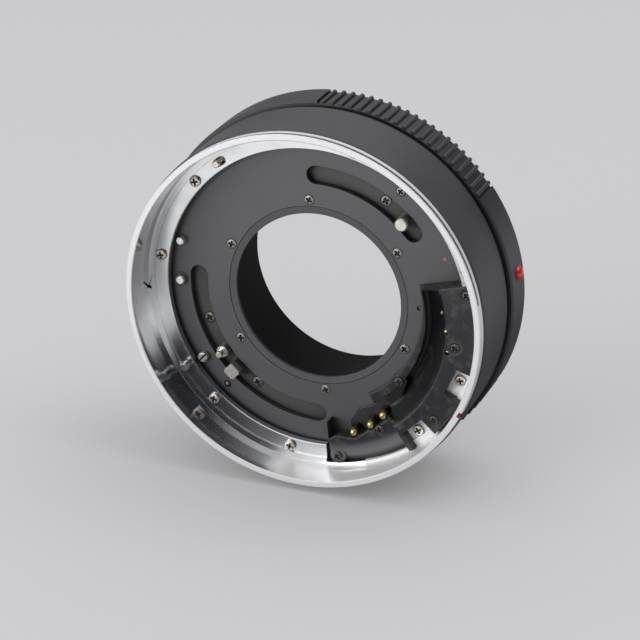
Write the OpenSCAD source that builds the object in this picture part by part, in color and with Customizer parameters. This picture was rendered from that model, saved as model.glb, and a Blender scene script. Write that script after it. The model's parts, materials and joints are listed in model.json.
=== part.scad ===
// Lens extension tube for a medium-format camera with a breech-lock mount.
// The lens side faces -Y, the camera seat lies in the plane Y = 0, and +Z is up.
// Every module draws round the local Z axis, with z = 0 at the camera seat and z rising to the lens side.

/* [Lens side ring] */
// Extension, from the camera seat to the lens seat
tube_len = 31.5; // [30:0.5:60]
// Outer diameter of the lens side ring
ring_d = 100; // [98:0.5:106]
// Width of the lens seat, from the bore to the outer edge
seat_w = 1.75; // [1.5:0.05:2]
// How far the ring stands out of the barrel
ring_proud = 2.7; // [2.4:0.1:4]
// Thickness of the front lip
lip_t = 0.7; // [0.5:0.1:0.9]
// Width of the groove behind the lip
groove_w = 0.7; // [0.5:0.1:0.9]
// Depth of the groove behind the lip
groove_depth = 1.1; // [0.6:0.1:1.15]
// Depth of the flange below the lens seat
flange_depth = 11; // [10:0.25:12]
// Thickness of the flange
flange_t = 2; // [1.8:0.1:2.4]
// Width of the ledge between the wall and the flange
ledge_w = 2; // [1.8:0.1:2.4]
// Height of the ledge above the flange
ledge_h = 0.6; // [0.3:0.1:1]
// Width of the flange inside the ledge
flange_w = 3.85; // [3.6:0.05:4]
// Thickness of the ring's skirt inside the barrel
skirt_t = 0.85; // [0.7:0.05:1.1]

/* [Barrel] */
// Step from the ring's edge out to the barrel
barrel_step = 0.4; // [0.2:0.1:2]
// Gap between the ring and the front edge of the barrel
barrel_gap = 0.25; // [0.1:0.05:0.5]
// Wall of the neck under the locking ring
neck_wall = 2.2; // [1.8:0.1:3]
// Thickness of the inner shelf that carries the face plate
shelf_t = 2; // [1.6:0.1:3]
// Thickness of the web at the rear end of the barrel
web_t = 2.5; // [2:0.1:3.5]

/* [Locking ring] */
// Step from the barrel out to the locking ring
lock_step = 1.2; // [0.8:0.1:3]
// Width of the locking ring along the tube
lock_w = 10.5; // [9:0.5:12]
// How far the locking ring reaches past the camera seat
lock_reach = 2.5; // [2.2:0.1:3]
// Groove between the barrel and the locking ring
lock_groove = 1.2; // [0.8:0.1:1.5]
// Serrated sectors round the locking ring
grip_sectors = 3; // [1:1:3]
// Ribs in each serrated sector
grip_count = 20; // [10:1:24]
// Pitch of the ribs, in degrees
grip_pitch = 2.93; // [2.6:0.01:3.1]
// Height of a rib above the floor between the ribs
grip_h = 0.85; // [0.4:0.05:0.9]
// Width of a rib
grip_w = 1.3; // [0.9:0.05:1.6]
// Turn of the locking ring from locked to open, in degrees
lock_turn = 35; // [25:1:40]

/* [Face plate and light path] */
// Depth of the face plate below the lens seat
plate_depth = 13.9; // [13.5:0.1:15]
// Thickness of the face plate
plate_t = 1.6; // [1.2:0.1:2]
// From the collar screws' circle in to the light opening
light_inset = 3.8; // [3.4:0.1:6]
// How much the light opening widens to the camera end, in radius
light_flare = 5.85; // [5:0.05:6]
// How far the baffle reaches past the camera seat
baffle_reach = 11.5; // [9:0.5:12.5]
// Width of the collar
collar_w = 2; // [1.6:0.1:2.4]
// Wall of the baffle
baffle_wall = 1.2; // [0.8:0.1:1.3]

/* [Shutter drive] */
// From the flange's edge in to the circle of the arc slots and of the pins in them
slot_inset = 7.95; // [7.7:0.05:8.2]
// From the arc slots' circle in to the collar screws' circle
collar_land = 7.15; // [6.9:0.05:7.3]
// Width of the arc slots
slot_w = 5.2; // [4.8:0.1:5.4]
// Thickness of the cocking ring
drive_t = 1.7; // [1.4:0.1:2]
// Diameter of the round cocking pin
round_pin_d = 3.7; // [3:0.1:4.2]
// Depth of the round pin's end below the lens seat
round_pin_depth = 11.2; // [10:0.1:12.5]
// Side of the square drive pin
square_pin_w = 3.5; // [2.8:0.1:3.8]
// Depth of the square pin's end below the lens seat
square_pin_depth = 10.5; // [10:0.1:12.5]
// Depth of the stepped stud's shoulder below the lens seat
stud_depth = 12.9; // [12:0.1:13.5]
// Turn of the cocking ring, in degrees
drive_turn = 44; // [30:1:45]

/* [Camera side] */
// Length of the spigot that enters the camera
spigot_len = 8; // [7:0.5:9]
// Clearance of the spigot in a bore like that of the lens side ring
spigot_gap = 0.35; // [0.15:0.05:0.6]
// Wall of the spigot
spigot_wall = 1.9; // [1.5:0.1:2.2]
// Thickness of the seat ring's web
seat_t = 1.2; // [1:0.1:1.6]
// Thickness of the rear plate
rear_t = 1.8; // [1.4:0.1:2.4]

/* [Contacts] */
// Diameter of the large contact pins
pin_d = 2.2; // [1.8:0.1:2.3]
// Depth of the large contact tips below the lens seat
pin_depth = 9.5; // [9:0.1:10.5]
// Diameter of the small contact pins
small_pin_d = 1.4; // [1:0.1:1.6]
// Depth of the small contact tips below the lens seat
small_pin_depth = 8.6; // [8:0.1:9]
// Depth of the contact cover's top below the lens seat
cover_depth = 8.1; // [7.6:0.1:8.5]

/* [Fasteners] */
// Head diameter of the flange screws
big_head_d = 3; // [2.8:0.1:3.2]
// Head diameter of the small screws
small_head_d = 2.5; // [2.2:0.1:2.7]
// Head diameter of the collar screws
collar_head_d = 2.8; // [2.4:0.1:2.9]
// Head diameter of the screws in the cocking ring
drive_head_d = 3; // [2.4:0.1:3.2]

/* [Hidden] */
$fn = 120;

// Running clearance of turning and sliding pieces, and clearance of fixed ones
run_gap = 0.05;
fit_gap = 0.02;
// Clear space above and below the cocking ring
drive_gap = 0.45;
// Overshoot of a cutting solid past the face that it cuts
cut = 0.1;
// Small chamfer on turned edges
edge = 0.2;

// Radii from the outside in
ring_r = ring_d / 2;
bore_r = ring_r - seat_w;
skirt_r = bore_r + skirt_t;
ledge_r = bore_r - ledge_w;
flange_r = ledge_r - flange_w;
barrel_r = ring_r + barrel_step;
lock_r = barrel_r + lock_step;
neck_r = barrel_r - lock_step;
neck_bore_r = neck_r - neck_wall;
spigot_r = bore_r - spigot_gap;
spigot_bore_r = spigot_r - spigot_wall;
// The face plate is tucked under the flange and lies on the barrel's shelf
plate_tuck = 1;
plate_r = flange_r + plate_tuck;
shelf_r = flange_r - 0.4;
web_r = neck_bore_r - 4.4;
// Circles in the face plate, each set in from the one outside it
drive_r = flange_r - slot_inset;
collar_screw_r = drive_r - collar_land;
hub_r = collar_screw_r + 2.5;

// Levels from the lens side down
lens_z = tube_len;
flange_z = lens_z - flange_depth;
flange_bottom_z = flange_z - flange_t;
ledge_z = flange_z + ledge_h;
plate_z = lens_z - plate_depth;
plate_bottom_z = plate_z - plate_t;
drive_z = plate_bottom_z - drive_gap;
drive_bottom_z = drive_z - drive_t;
keeper_z = drive_bottom_z - drive_gap;
keeper_t = 1.2;
barrel_z = lens_z - ring_proud - barrel_gap;
lock_z = lock_w - lock_reach;
shoulder_z = lock_z + lock_groove;
cover_z = lens_z - cover_depth;
// The bore of the lens seat ends above the contact cover, and a slight taper follows
bore_foot_z = cover_z + 0.5;
taper_r = bore_r - 0.25;
seat_face_r = ring_r - 0.9;
seat_step = 0.15;
rear_plate_z = -spigot_len + 0.1;
rear_plate_top_z = rear_plate_z + rear_t;
rear_drive_z = rear_plate_top_z + drive_gap;

// The light path
light_r = collar_screw_r - light_inset;
light_rear_r = light_r + light_flare;
collar_r = light_r + collar_w;
collar_gap = 0.12;
light_slope = (light_rear_r - light_r) / (plate_z + baffle_reach);

// The shutter drive, with angles seen from the lens side, anticlockwise from +X
drive_in_r = hub_r + run_gap;
drive_out_r = flange_r - 4.7;
slot_upper = [35, 95.4];
slot_lower = [173.5, 274.4];
round_pin_a = 45.7;
square_pin_a = 226;
stud_a = 216.4;
drive_screw_a = [20.3, 57.7, 200.3, 237.8];
drive_head_sink = 0.4;
post_a = [120, 175, 262];
// Play of the camera's pins in the arc slots of the rear plate, in degrees
slot_play = 15.5;
post_d = 2.6;
stud_d = 3.3;
stud_pin_d = 1.8;
stud_pin_h = 2.3;
fork_w = 8;
fork_reach = plate_depth - 0.7;

// Screws, as [radius, angle]
screw_shank = 0.8;
big_head_h = 0.9;
small_head_h = 0.7;
head_gap = 0.1;
recess_l = 0.66;
recess_w = 0.19;
flange_screw_r = (ledge_r + flange_r) / 2 + 0.35;
screw_bite = 1.6;
flange_screw_a = [139, 171.3, 229.1, 261.2, 312.4, 338.3, 20, 75];
collar_screw_a = [for (i = [0 : 5]) 35 + 60 * i];
pillar_at = [[flange_r - 2.1, 55], [flange_r - 2.2, 145], [flange_r - 2.2, 250], [flange_r - 3, -60.3]];
pillar_d = 3.2;
seat_screw_r = spigot_bore_r - 1.6;
seat_screw_a = [for (i = [0 : 5]) 25 + 60 * i];

// Pins in the face plate
upper_rod = [flange_r - 1.8, 164.4];
upper_rod_d = 2.3;
upper_rod_depth = 11.8;
lower_rod = [flange_r - 2.8, 181.1];
lower_rod_d = 2.5;
lower_rod_depth = 12.3;
bush_d = 3.8;
rod_stroke = 2;
adjuster = [flange_r - 2.1, 214.3];
adjuster_d = 2.8;
adjuster_z = lens_z - 12;
adjuster_slot_w = 0.45;
adjuster_slot_a = 15;
ball_at = [flange_r - 2.2, 228.7];
ball_d = 2;
sense_at = [flange_r + 2.35, 213.5];
sense_d = 2.4;
interlock_at = [flange_r + 2.2, 127.6];
interlock_d = 2;
interlock_turn = 1.8;

// Small features on the rings, with angles as above
mark_a = -26;
mark_d = 1.3;
mark_proud = 0.06;
mark_z = lens_z - 2.1;
key_a = 182.7;
key_z = lens_z - 9.4;
key_l = 4.6;
key_w = 0.6;
key_h = 0.5;
key_tilt = -51;
stop_a = 300;
stop_d = 1.6;
bead_a = 9.3;
bead_r = 2;
bead_z = 2;
bead_sink = 0.6;
bead_base = 0.55;
grip_a = 37.3;
lug_at = [20, 140, 260];
lug_span = 50;
paint_at = [flange_r - 3.6, 24.1];
paint_d = 0.9;
dimple_at = [hub_r - 1.1, 1.8];
dimple_d = 1.5;

// Contacts, as [distance in from the flange's edge, angle]
pin_at = [[3.8, -72.2], [4.88, -63.74], [6.04, -56.44]];
small_at = [[5.59, 4.44], [4.43, -3.47], [3.22, -11.78]];
pad_d = 2.4;
pad_reach = pin_depth + 0.2;
small_pad_d = 1.2;
small_pad_reach = small_pin_depth + 0.2;
sleeve_wall = 0.22;
sleeve_h = 2.3;
ribbon_w = 6;
ribbon_t = 0.25;
ribbon_at = [flange_r - 2.8, -73];

// Contact cover, with a thin strip inside its arc-shaped scoop and a low lobe beside the pins
cover_r = bore_r - 0.35;
cover_a = 15.1;
strip_t = 0.7;
strip_r = hub_r + fit_gap;
strip_a = -60;
strip_screw = [hub_r + 1.7, -41.2];
strip_screw_pad = 2.1;
strip_pad_h = 0.15;
strip_boss = [hub_r + 2.1, -50];
strip_boss_d = 1.9;
scoop_at = [0.5, -2.5];
scoop_in_r = flange_r - 12.27;
scoop_out_r = flange_r - 4.8;
scoop_a = [-52.1, 16.7];
scoop_wall = 0.5;
scoop_floor_z = plate_bottom_z + 0.35;
tray_r = flange_r - 8.2;
tray_a = [-52.9, 17.4];
sill_z = plate_z + 2.9;
lobe_a = [-83, -53.4];
lobe_z = lens_z - pin_depth;
lobe_r = flange_r - 1.4;
lobe_drop = 2.2;
lobe_foot_r = bore_r - 1.1;
lug_r = 2.2;
lug_z = lobe_z - 0.3;
lug_screw = [flange_r + 2.5, -80.4];
notch_a = [-85.2, -52.6];
window_a = [[-27.9, -16.9], [-51.6, -42.1]];
window_in_r = flange_r + 0.2;
head_sink = 0.45;
// Screws of the cover, as [radius, angle, level under the head, length of the shank]
cover_screws = [
  [strip_screw[0], strip_screw[1], plate_z + strip_t + strip_pad_h, 2],
  [pillar_at[3][0], pillar_at[3][1], lobe_z - head_sink, 7],
  [lug_screw[0], lug_screw[1], lug_z, 4.6],
  [flange_r + 2.6, -38.6, cover_z - head_sink, 4.4],
  [flange_r - 1.3, -8.8, cover_z - head_sink, 6.6],
  [flange_r + 1.9, 11.7, cover_z - head_sink, 4.4]];
eyelet_at = [flange_r - 3.7, -79];

// Corners round the large contacts, each as [distance in from the flange's edge, angle]:
// the insulator, with the way that each corner moves for a clearance
insulator_at = [[5.72, -74.83], [9.31, -68.55], [8.99, -62.36], [9.59, -58.59], [8.9, -56.69],
  [6.24, -53.32], [4.37, -55.39], [4.58, -58.96], [4.19, -61.56], [2.87, -63.56], [1.89, -70.98],
  [2.71, -74.81]];
insulator_side = [[-1, 1], [-1, 1], [-1, 1], [0, 1], [1, 1], [1, 0], [1, 0], [1, -1], [1, -1], [1, -1],
  [0, -1], [-1, -1]];
// the end of the lobe beside the contacts, and of the strip
lobe_cut_at = [[2.6, -82.93], [3.72, -79.27], [2.64, -74.99], [3.14, -68.79], [4.24, -62.02],
  [4.64, -54.92], [5.48, -51.27], [9.6, -37.57]];
strip_cut_at = [[5.48, -51.27], [4.24, -62.02], [3.21, -69.07], [-10.1, -72.26], [-35.7, -39.81]];
// the wing of the strip
wing_at = [[12.57, -39.56], [9.6, -39.81], [8.48, -41.77], [5.21, -51.99], [8.84, -52.99],
  [10.35, -46.9]];

// Turns the local Z axis to -Y
module lay() { rotate([90, 0, 0]) children(); }

// Places a child at a radius and an angle
module at(r, a) { rotate([0, 0, a]) translate([r, 0, 0]) children(); }

// Places a child at a contact, and turns such a place into [x, y]
module at_contact(p) { translate(inset(p)) children(); }
function inset(p) = [(flange_r - p[0]) * cos(p[1]), (flange_r - p[0]) * sin(p[1])];

// A ring of rectangular section, from z0 up to z1
module ring(r_in, r_out, z0, z1) {
  rotate_extrude() polygon([[r_in, z0], [r_out, z0], [r_out, z1], [r_in, z1]]);
}

// Part of such a ring between two angles
module sector(r_in, r_out, z0, z1, a0, a1) {
  rotate([0, 0, a0]) rotate_extrude(angle = a1 - a0)
    polygon([[r_in, z0], [r_out, z0], [r_out, z1], [r_in, z1]]);
}

// A plain cylinder from z0 up to z1
module rod(d, z0, z1) { translate([0, 0, z0]) cylinder(d = d, h = z1 - z0); }

// A cylinder with a chamfered top edge
module stud(d, z0, z1, c) {
  rotate_extrude() polygon([[0, z0], [d / 2, z0], [d / 2, z1 - c], [d / 2 - c, z1], [0, z1]]);
}

// An arc slot whose round ends reach the angles a0 and a1
module arc_slot(r, w, z0, z1, a0, a1) {
  end_a = asin(w / 2 / r);
  sector(r - w / 2, r + w / 2, z0, z1, a0 + end_a, a1 - end_a);
  for (a = [a0 + end_a, a1 - end_a]) at(r, a) rod(w - 0.08, z0, z1);
}

// A cross-recess screw, with the underside of its head at z = 0
module screw(head_d, head_h, shank_l) {
  difference() {
    union() {
      rotate_extrude() polygon([
        [0, 0], [head_d / 2, 0], [head_d / 2, head_h * 0.72], [head_d * 0.44, head_h * 0.92],
        [head_d * 0.3, head_h], [0, head_h]]);
      translate([0, 0, -shank_l]) cylinder(r = screw_shank, h = shank_l + 0.01);
    }
    for (turn = [0, 90]) rotate([0, 0, turn]) translate([0, 0, head_h * 0.75])
      cube([head_d * recess_l, head_d * recess_w, head_h], center = true);
  }
}

// The clearance hole of a screw's shank
module shank_hole(z0, z1) { rod(2 * (screw_shank + fit_gap), z0, z1); }

// Inner radius of the baffle at a level
function light_r_at(z) = light_r + (plate_z - z) * light_slope;

// The bright ring that the lens seats on
module lens_mount_ring() {
  band_z = lens_z - ring_proud;
  color([0.86, 0.86, 0.88]) lay() difference() {
    rotate_extrude() polygon([
      [bore_r + edge, lens_z], [ring_r - edge, lens_z], [ring_r, lens_z - edge], [ring_r, band_z],
      [skirt_r, band_z], [skirt_r, flange_bottom_z], [flange_r, flange_bottom_z],
      [flange_r, flange_z - edge], [flange_r + edge, flange_z], [ledge_r, flange_z],
      [ledge_r, ledge_z], [taper_r, ledge_z], [bore_r, bore_foot_z], [bore_r, lens_z - edge]]);
    // the groove runs round the ring but for one block
    sector(ring_r - groove_depth, ring_r + cut, lens_z - lip_t - groove_w, lens_z - lip_t, 11.6, 315);
    for (a = flange_screw_a) at(flange_screw_r, a) shank_hole(flange_bottom_z - cut, flange_z + cut);
    // bore of the sensing pin, and the slot of the interlock pin
    at(sense_at[0], sense_at[1]) rod(sense_d + 0.3, flange_bottom_z - cut, flange_z + cut);
    arc_slot(interlock_at[0], interlock_d + 0.4, flange_bottom_z - cut, flange_z + cut,
      interlock_at[1] - interlock_turn - 1.6, interlock_at[1] + 1.7);
    // notch for the foot of the contact cover
    sector(flange_r - cut, bore_r - 1, flange_bottom_z - cut, ledge_z + cut, notch_a[0], notch_a[1]);
    cover_shanks();
    // seat of the index mark, and the slot of the wall key
    rotate([0, 0, mark_a]) translate([ring_r - 0.4, 0, mark_z]) rotate([0, 90, 0])
      cylinder(d = mark_d + 2 * fit_gap, h = 1);
    key_block(key_l + 2 * fit_gap, key_w + 2 * fit_gap, bore_r - 1, 1 + key_h);
  }
}

module mount_ring_screws() {
  color([0.80, 0.74, 0.66]) lay() for (a = flange_screw_a)
    at(flange_screw_r, a) rotate([0, 0, a * 1.7]) translate([0, 0, flange_z])
      screw(big_head_d, big_head_h, flange_t + screw_bite);
}

// Red mark on the side of the lens side ring
module lens_index_mark() {
  color([0.45, 0.02, 0.04]) lay() rotate([0, 0, mark_a])
    translate([ring_r - 0.4 + fit_gap, 0, mark_z]) rotate([0, 90, 0])
      cylinder(d = mark_d, h = 0.4 - fit_gap + mark_proud);
}

// A block let into the wall of the ring at a slant, from radius r outwards
module key_block(l, w, r, t) {
  rotate([0, 0, key_a]) translate([r + t / 2, 0, key_z]) rotate([key_tilt, 0, 0])
    cube([t, l, w], center = true);
}

// Dark key in the wall of the ring
module ring_wall_key() {
  color([0.12, 0.12, 0.12]) lay() key_block(key_l, key_w, bore_r + 0.12, key_h - 0.12 - fit_gap);
}

// Black outer casting
module barrel() {
  lip_r = skirt_r + fit_gap;
  color([0.16, 0.16, 0.17]) lay() difference() {
    rotate_extrude() polygon([
      [lip_r, barrel_z - 0.3], [lip_r + 0.3, barrel_z], [barrel_r - 0.4, barrel_z],
      [barrel_r, barrel_z - 0.4], [barrel_r, shoulder_z + 0.5], [barrel_r - 0.5, shoulder_z],
      [neck_r, shoulder_z], [neck_r, seat_t], [web_r, seat_t],
      [web_r, seat_t + web_t], [neck_bore_r, seat_t + web_t],
      [neck_bore_r, plate_bottom_z - shelf_t], [shelf_r, plate_bottom_z - shelf_t],
      [shelf_r, plate_bottom_z], [plate_r + fit_gap, plate_bottom_z],
      [plate_r + fit_gap, flange_bottom_z], [lip_r, flange_bottom_z]]);
    for (a = flange_screw_a) at(flange_screw_r, a)
      shank_hole(flange_bottom_z - screw_bite - 0.2, flange_bottom_z + cut);
    for (a = seat_screw_a) at(seat_screw_r, a) shank_hole(seat_t - cut, seat_t + 2);
    cover_shanks();
    // bore of the sensing pin, and the pocket of the interlock slider
    at(sense_at[0], sense_at[1])
      rod(sense_d + 2 * run_gap, plate_bottom_z - shelf_t - cut, flange_bottom_z + cut);
    sector(plate_r, interlock_at[0] + 2.2, flange_bottom_z - 1.4,
      flange_bottom_z + cut, interlock_at[1] - 7, interlock_at[1] + 5);
    // hole of the locking ring's stop
    rotate([0, 0, stop_a]) translate([neck_bore_r - 1, 0, lock_z / 2]) rotate([0, 90, 0])
      cylinder(d = stop_d + 2 * fit_gap, h = 6);
  }
}

// Ring that the user turns to clamp the tube to the camera
module locking_ring() {
  step_z = seat_t + run_gap;
  wide_r = ring_r + 0.2;
  floor_r = lock_r - grip_h;
  rib_r = lock_r - grip_w / 2;
  grip_span = (grip_count - 1) * grip_pitch;
  color([0.18, 0.18, 0.19]) lay() union() {
    difference() {
      union() {
        rotate_extrude() polygon([
          [neck_r + run_gap, step_z], [wide_r, step_z], [wide_r, -lock_reach + 0.2],
          [wide_r + 0.2, -lock_reach], [lock_r - 0.4, -lock_reach], [lock_r, -lock_reach + 0.4],
          [lock_r, lock_z - 0.5], [lock_r - 0.5, lock_z], [neck_r + run_gap, lock_z]]);
        // lugs that draw the camera's ring in
        for (a = lug_at) sector(seat_face_r + 0.05, wide_r + cut,
          -lip_t - groove_w + 0.08, -lip_t - 0.08, a, a + lug_span);
      }
      // floors of the serrated sectors
      for (s = [0 : grip_sectors - 1]) sector(floor_r, lock_r + 1, -lock_reach - 1, lock_z + 1,
        grip_a - grip_pitch / 2 + s * 120, grip_a + grip_span + grip_pitch / 2 + s * 120);
      // track of the stop, and the seat of the index bead
      sector(neck_r, neck_r + 1.2, lock_z / 2 - 1.1, lock_z / 2 + 1.1,
        stop_a - 2.2, stop_a + lock_turn + 2.2);
      rotate([0, 0, bead_a]) translate([lock_r - bead_sink, 0, bead_z]) rotate([0, 90, 0])
        cylinder(r = bead_r + fit_gap, h = 3);
    }
    for (s = [0 : grip_sectors - 1], i = [0 : grip_count - 1])
      at(rib_r, grip_a + s * 120 + i * grip_pitch) grip_rib();
  }
}

// One round rib, with chamfered ends
module grip_rib() {
  r = grip_w / 2;
  end = 0.2;
  rotate_extrude() polygon([[0, -lock_reach + 0.15], [r - end, -lock_reach + 0.15],
    [r, -lock_reach + 0.15 + end], [r, lock_z - 0.1 - end], [r - end, lock_z - 0.1], [0, lock_z - 0.1]]);
}

// Domed red bead on the locking ring
module locking_ring_index() {
  dome = [for (t = [0 : 10 : 90]) [bead_r * cos(t), bead_base + 1.25 * sin(t)]];
  color([0.75, 0.05, 0.05]) lay() rotate([0, 0, bead_a]) translate([lock_r - bead_sink, 0, bead_z])
    rotate([0, 90, 0]) rotate_extrude() polygon(concat([[0, 0], [bead_r, 0]], dome));
}

// Split ring in the groove ahead of the locking ring
module locking_ring_retainer() {
  color([0.10, 0.10, 0.11]) lay() difference() {
    ring(neck_r + fit_gap, neck_r + 0.7, lock_z + run_gap, shoulder_z - fit_gap);
    sector(neck_r - 1, neck_r + 2, lock_z - 1, shoulder_z + 1, 268, 271);
  }
}

module locking_ring_stop() {
  color([0.6, 0.6, 0.62]) lay() rotate([0, 0, stop_a]) translate([neck_bore_r - 0.6, 0, lock_z / 2])
    rotate([0, 90, 0]) cylinder(d = stop_d, h = neck_wall + 1.5);
}

// Black plate with the arc slots
module face_plate() {
  z0 = plate_bottom_z - cut;
  z1 = plate_z + cut;
  color([0.27, 0.27, 0.28]) lay() difference() {
    ring(collar_r + collar_gap, plate_r, plate_bottom_z, plate_z);
    arc_slot(drive_r, slot_w, z0, z1, slot_upper[0], slot_upper[1]);
    arc_slot(drive_r, slot_w, z0, z1, slot_lower[0], slot_lower[1]);
    for (a = collar_screw_a) at(collar_screw_r, a) {
      shank_hole(z0, z1);
      rod(collar_head_d + 2 * head_gap, plate_z - head_sink, z1);
    }
    at(pillar_at[0][0], pillar_at[0][1]) {
      shank_hole(z0, z1);
      rod(small_head_d + 0.3, plate_z - head_sink, z1);
    }
    at(upper_rod[0], upper_rod[1]) rod(upper_rod_d + 2 * run_gap, z0, z1);
    at(lower_rod[0], lower_rod[1]) rod(bush_d, z0, z1);
    at(adjuster[0], adjuster[1]) rod(adjuster_d - 0.4 + 2 * fit_gap, z0, z1);
    at(ball_at[0], ball_at[1]) rod(ball_d + 2 * run_gap, z0, z1);
    // openings for the tray of the contact cover and for the insulator
    translate([0, 0, z0]) linear_extrude(z1 - z0) tray_area(fit_gap);
    linear_extrude(z1) polygon(insulator_outline(fit_gap));
    cover_shanks();
    // a blind dimple and the seat of the paint dot
    at(dimple_at[0], dimple_at[1]) rod(dimple_d, plate_z - 0.5, z1);
    at(paint_at[0], paint_at[1]) rod(paint_d, plate_z - 0.15, z1);
  }
}

// Small paint dot on the face plate
module face_plate_index() {
  color([0.62, 0.22, 0.22]) lay() at(paint_at[0], paint_at[1])
    rod(paint_d - fit_gap, plate_z - 0.15, plate_z + 0.02);
}

module face_plate_screws() {
  color([0.72, 0.71, 0.69]) lay() {
    for (a = collar_screw_a) at(collar_screw_r, a) rotate([0, 0, a * 2.3 + 20])
      translate([0, 0, plate_z - head_sink]) screw(collar_head_d, small_head_h, plate_t + 1.1);
    at(pillar_at[0][0], pillar_at[0][1]) translate([0, 0, plate_z - head_sink])
      screw(small_head_d, small_head_h, plate_t + 1.1);
  }
}

// Light baffle with its collar, and the hub that the cocking ring turns on
module baffle_tube() {
  hub_z = keeper_z;
  color([0.15, 0.15, 0.16]) lay() difference() {
    rotate_extrude() polygon([
      [light_r, plate_z - 0.15], [light_r + 0.15, plate_z], [collar_r - 0.15, plate_z],
      [collar_r, plate_z - 0.15], [collar_r, plate_bottom_z], [hub_r, plate_bottom_z], [hub_r, hub_z],
      [light_r_at(hub_z) + baffle_wall, hub_z], [light_rear_r + baffle_wall, -baffle_reach + 0.4],
      [light_rear_r + baffle_wall - 0.4, -baffle_reach], [light_rear_r, -baffle_reach]]);
    for (a = collar_screw_a) at(collar_screw_r, a) shank_hole(plate_bottom_z - 1.6, plate_bottom_z + cut);
  }
}

// Pillars between the face plate and the rear plate
module plate_pillars() {
  color([0.62, 0.58, 0.42]) lay() difference() {
    for (p = pillar_at) at(p[0], p[1]) rod(pillar_d, rear_plate_top_z, plate_bottom_z);
    for (p = pillar_at) at(p[0], p[1]) {
      shank_hole(plate_bottom_z - 1.6, plate_bottom_z + cut);
      shank_hole(rear_plate_top_z - cut, rear_plate_top_z + 2.4);
    }
  }
}

// Ring behind the slots that carries the shutter pins
module cocking_ring() {
  color([0.24, 0.23, 0.22]) lay() difference() {
    ring(drive_in_r, drive_out_r, drive_bottom_z, drive_z);
    for (a = drive_screw_a) at(drive_r, a) {
      shank_hole(drive_bottom_z - cut, drive_z + cut);
      rod(drive_head_d + 2 * head_gap, drive_z - drive_head_sink, drive_z + cut);
    }
    at(drive_r, round_pin_a) rod(2 + 2 * fit_gap, drive_bottom_z - cut, drive_z + cut);
    at(drive_r, square_pin_a) rod(2 + 2 * fit_gap, drive_bottom_z - cut, drive_z + cut);
    at(drive_r, stud_a) rod(2.2 + 2 * fit_gap, drive_bottom_z - cut, drive_z + cut);
    for (a = post_a) at(drive_r, a) rod(1.4 + 2 * fit_gap, drive_bottom_z - cut, drive_z - 0.4);
  }
}

module cocking_ring_screws() {
  color([0.70, 0.69, 0.67]) lay() for (a = drive_screw_a) at(drive_r, a) rotate([0, 0, a])
    translate([0, 0, drive_z - drive_head_sink]) screw(drive_head_d, small_head_h, drive_t - 0.6);
}

module round_cocking_pin() {
  color([0.30, 0.29, 0.28]) lay() at(drive_r, round_pin_a) {
    stud(round_pin_d, drive_z, lens_z - round_pin_depth, 0.35);
    rod(2, drive_bottom_z, drive_z + 0.01);
  }
}

module square_drive_pin() {
  w = square_pin_w;
  r = 0.45;
  color([0.80, 0.76, 0.73]) lay() at(drive_r, square_pin_a) {
    translate([0, 0, drive_z]) linear_extrude(lens_z - square_pin_depth - drive_z) difference() {
      square(w, center = true);
      for (i = [0 : 3]) rotate(90 * i) translate([w / 2, w / 2]) rotate(45) square([2 * r, r], center = true);
    }
    rod(2, drive_bottom_z, drive_z + 0.01);
  }
}

// Stud with a shoulder for a lever of the lens
module stepped_stud() {
  color([0.78, 0.74, 0.70]) lay() at(drive_r, stud_a) difference() {
    union() {
      stud(stud_d, drive_z, lens_z - stud_depth, 0.2);
      rod(2.2, drive_bottom_z, drive_z + 0.01);
    }
    rod(stud_pin_d - 0.4 + 2 * fit_gap, drive_z + 0.6, lens_z);
  }
}

// Small pin pressed into the stepped stud
module stud_pin() {
  color([0.82, 0.79, 0.76]) lay() at(drive_r, stud_a) {
    stud(stud_pin_d, lens_z - stud_depth + fit_gap, lens_z - stud_depth + stud_pin_h, 0.15);
    rod(stud_pin_d - 0.4, drive_z + 0.6, lens_z - stud_depth + fit_gap + 0.01);
  }
}

// Posts that carry the turn of the cocking ring to the rear
module drive_posts() {
  color([0.6, 0.57, 0.45]) lay() for (a = post_a) at(drive_r, a) {
    rod(post_d, rear_drive_z + drive_t, drive_bottom_z);
    rod(1.4, drive_bottom_z - 0.01, drive_z - 0.5);
    rod(1.4, rear_drive_z + 0.3, rear_drive_z + drive_t + 0.01);
  }
}

// Ring inside the rear plate, with a fork for each pin of the camera
module rear_drive_ring() {
  r_in = light_rear_r + baffle_wall + 0.5;
  color([0.24, 0.23, 0.22]) lay() {
    difference() {
      ring(r_in, drive_out_r, rear_drive_z, rear_drive_z + drive_t);
      for (a = post_a) at(drive_r, a) rod(1.4 + 2 * fit_gap, rear_drive_z - cut, rear_drive_z + 3);
    }
    for (a = [round_pin_a, square_pin_a]) at(drive_r, a) difference() {
      translate([-slot_w / 2 + 0.5, -fork_w / 2, -fork_reach])
        cube([slot_w - 1, fork_w, fork_reach + rear_drive_z + 0.3]);
      translate([-slot_w, -round_pin_d / 2 - 0.1, -fork_reach - cut])
        cube([2 * slot_w, round_pin_d + 0.2, fork_reach + rear_plate_z - 0.7]);
    }
  }
}

// Flat ring that keeps the cocking ring on its hub
module cocking_ring_keeper() {
  color([0.55, 0.52, 0.40]) lay()
    ring(light_r_at(keeper_z - keeper_t) + baffle_wall + 0.1, hub_r + 2, keeper_z - keeper_t, keeper_z);
}

// Release rods run through the tube and pass a push on to the camera
module release_rod(d, depth) {
  stud(d, -depth, lens_z - depth, 0.25);
  rod(d + 0.36, plate_bottom_z - rod_stroke - 1.2, plate_bottom_z - 0.2);
}

module release_rod_upper() {
  color([0.88, 0.87, 0.86]) lay() at(upper_rod[0], upper_rod[1]) release_rod(upper_rod_d, upper_rod_depth);
}

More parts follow.
